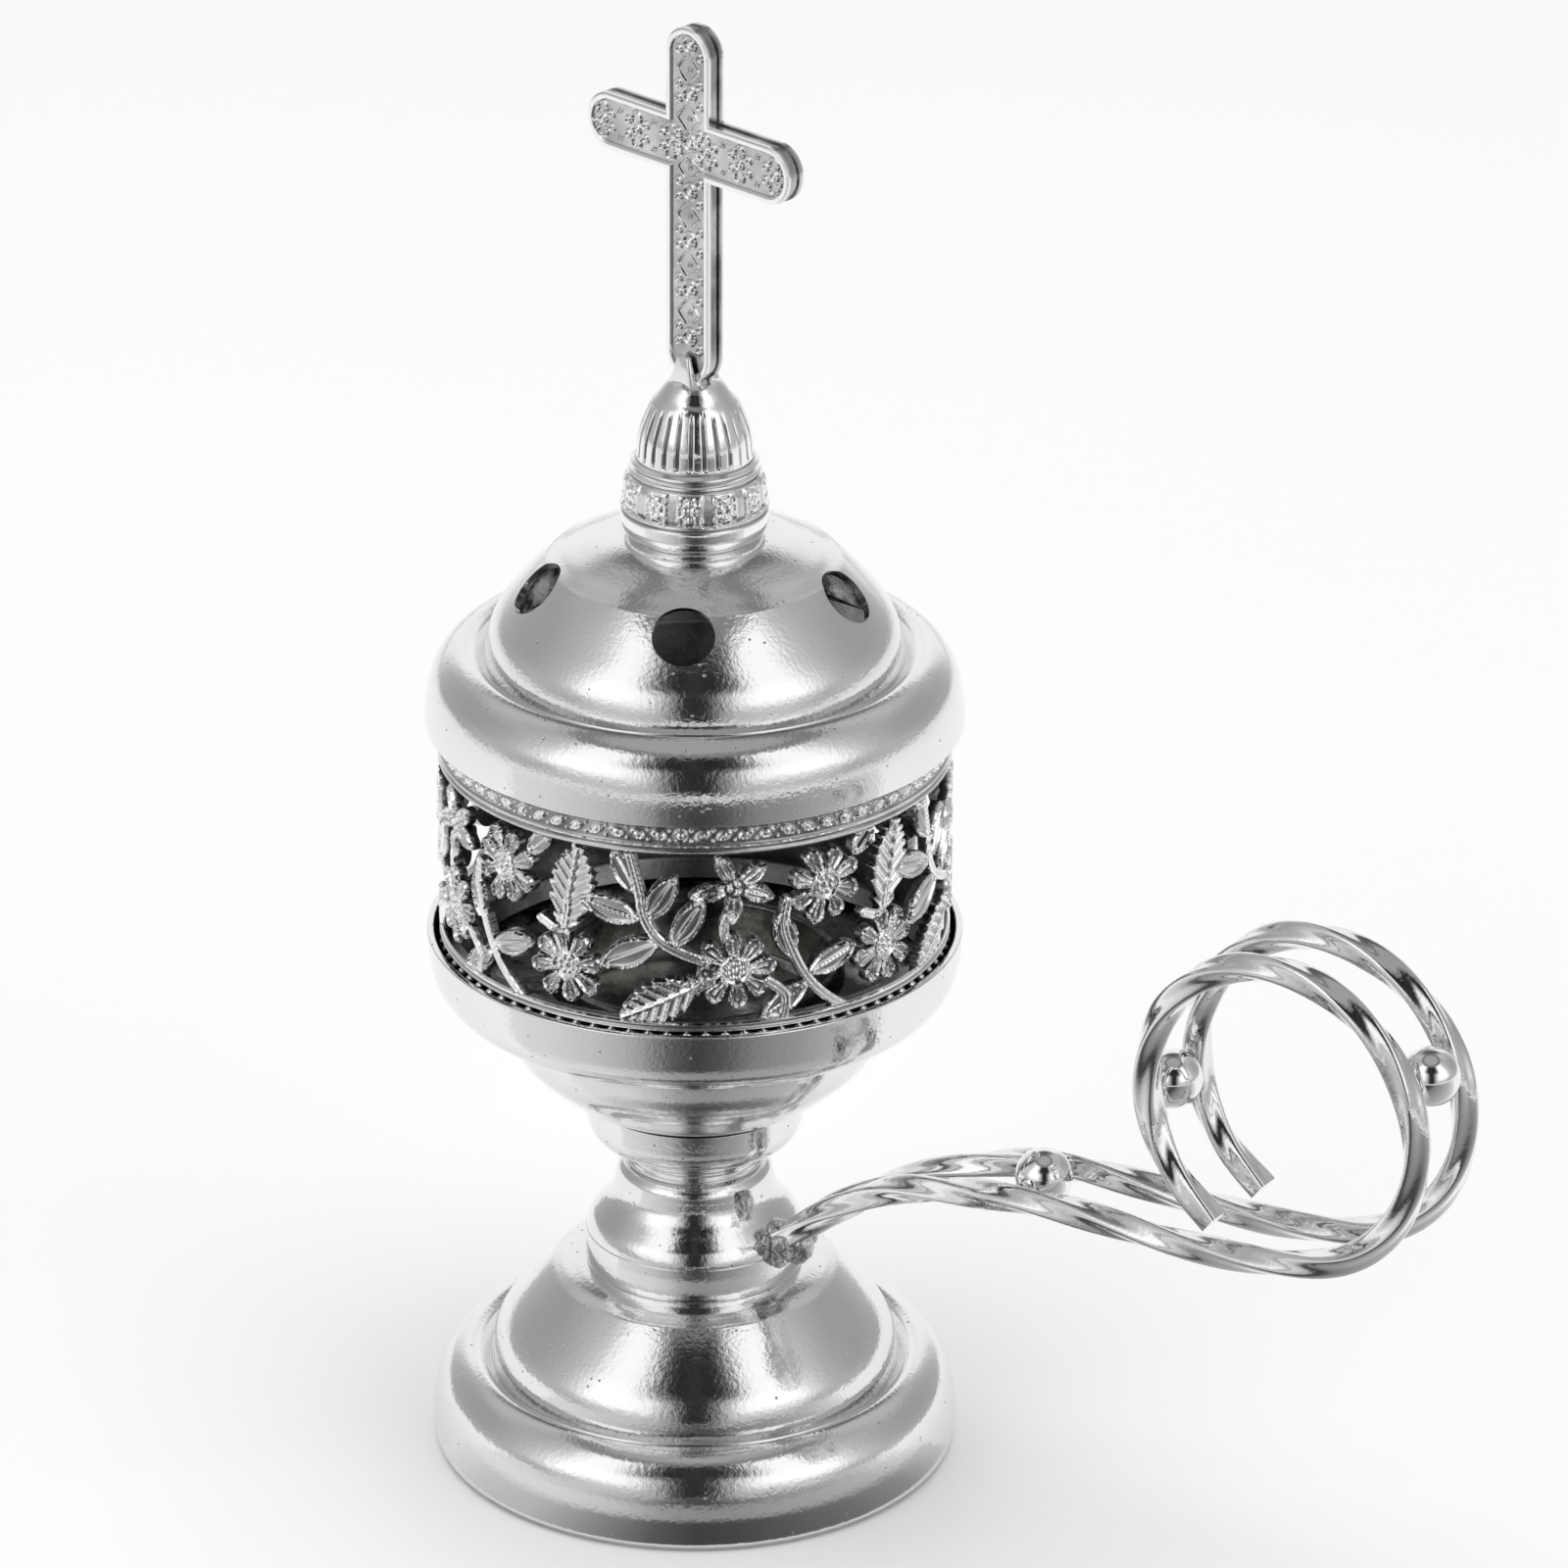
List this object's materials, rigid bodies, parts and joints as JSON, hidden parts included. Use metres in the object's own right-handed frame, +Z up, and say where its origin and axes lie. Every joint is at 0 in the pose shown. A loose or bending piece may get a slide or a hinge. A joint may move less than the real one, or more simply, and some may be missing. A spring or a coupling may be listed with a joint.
{
  "type": "hand censer",
  "caption": "Footed hand censer with a pierced floral band, domed lid with cross finial, lift-out charcoal pan and a twisted-wire finger-ring handle.",
  "frame": {"origin": "on the upright axis, at the plane of the foot's rim where the censer stands", "axes": "+Z up along the axis of the turned parts, +X out along the handle towards the finger ring, +Y across the handle"},
  "size_m": [0.1426, 0.0662, 0.1874],
  "materials": {
    "spun_silver": "silver-plated spun sheet, satin gloss with a fine pebble",
    "cast_silver": "silver-plated casting, bright with dark recesses",
    "wire_silver": "silver-plated twisted square wire, bright",
    "ball_silver": "mirror-polished plated ball",
    "solder": "rough plated solder",
    "pan_steel": "dull plated sheet, slightly sooted",
    "hardware_steel": "plain zinc-plated steel"
  },
  "bodies": {
    "stand": {"foot": "spun_silver", "foot_washer": "hardware_steel", "foot_nut": "hardware_steel", "tie_bolt": "hardware_steel", "stem_drum": "spun_silver", "stem_knop": "spun_silver", "neck_ring": "spun_silver", "stem_cup": "spun_silver", "bowl": "spun_silver", "bowl_washer": "hardware_steel", "handle_wire_left": "wire_silver", "handle_wire_right": "wire_silver", "handle_ball_inner": "ball_silver", "handle_ball_middle": "ball_silver", "handle_ball_outer": "ball_silver", "handle_solder": "solder"},
    "pan": {"charcoal_pan": "pan_steel"},
    "cover": {"pierced_band": "cast_silver", "lid": "spun_silver", "lid_washer": "hardware_steel", "finial": "cast_silver", "finial_screw": "hardware_steel", "cross": "cast_silver"}
  },
  "joints": [
    {"name": "cover_lift", "type": "slide", "parent": "stand", "child": "cover", "axis": [0, 0, 1], "range_m": [0, 0.07]},
    {"name": "pan_lift", "type": "slide", "parent": "stand", "child": "pan", "axis": [0, 0, 1], "range_m": [0, 0.03]}
  ]
}
